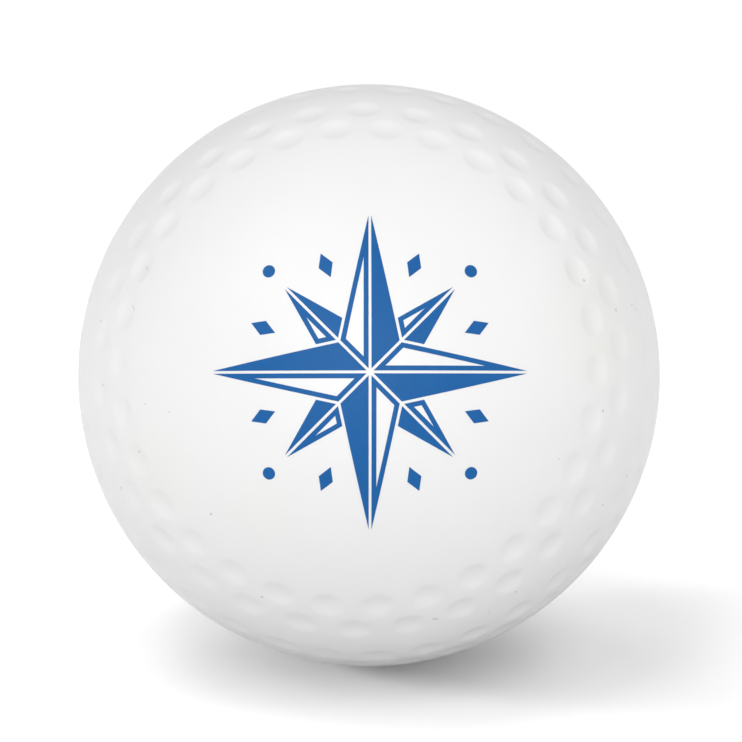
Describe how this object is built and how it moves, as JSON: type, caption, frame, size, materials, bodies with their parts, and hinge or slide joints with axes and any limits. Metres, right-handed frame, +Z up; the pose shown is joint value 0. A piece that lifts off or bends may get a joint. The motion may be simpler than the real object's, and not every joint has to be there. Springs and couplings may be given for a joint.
{
  "type": "field hockey ball",
  "caption": "Solid white moulded ball for field hockey, with staggered rings of shallow round dimples and a smooth printed cap.",
  "frame": {"origin": "centre of the ball", "axes": "+Z up; the front pole, in the middle of the printed cap, looks along -Y and leans up by 14.5 degrees"},
  "size_m": [0.073, 0.073, 0.073],
  "materials": {
    "white_plastic": "white moulded plastic, semi-gloss, faintly mottled",
    "blue_print": "blue pad-printed ink, satin"
  },
  "bodies": {
    "root": {"ball": "white_plastic"}
  },
  "joints": []
}
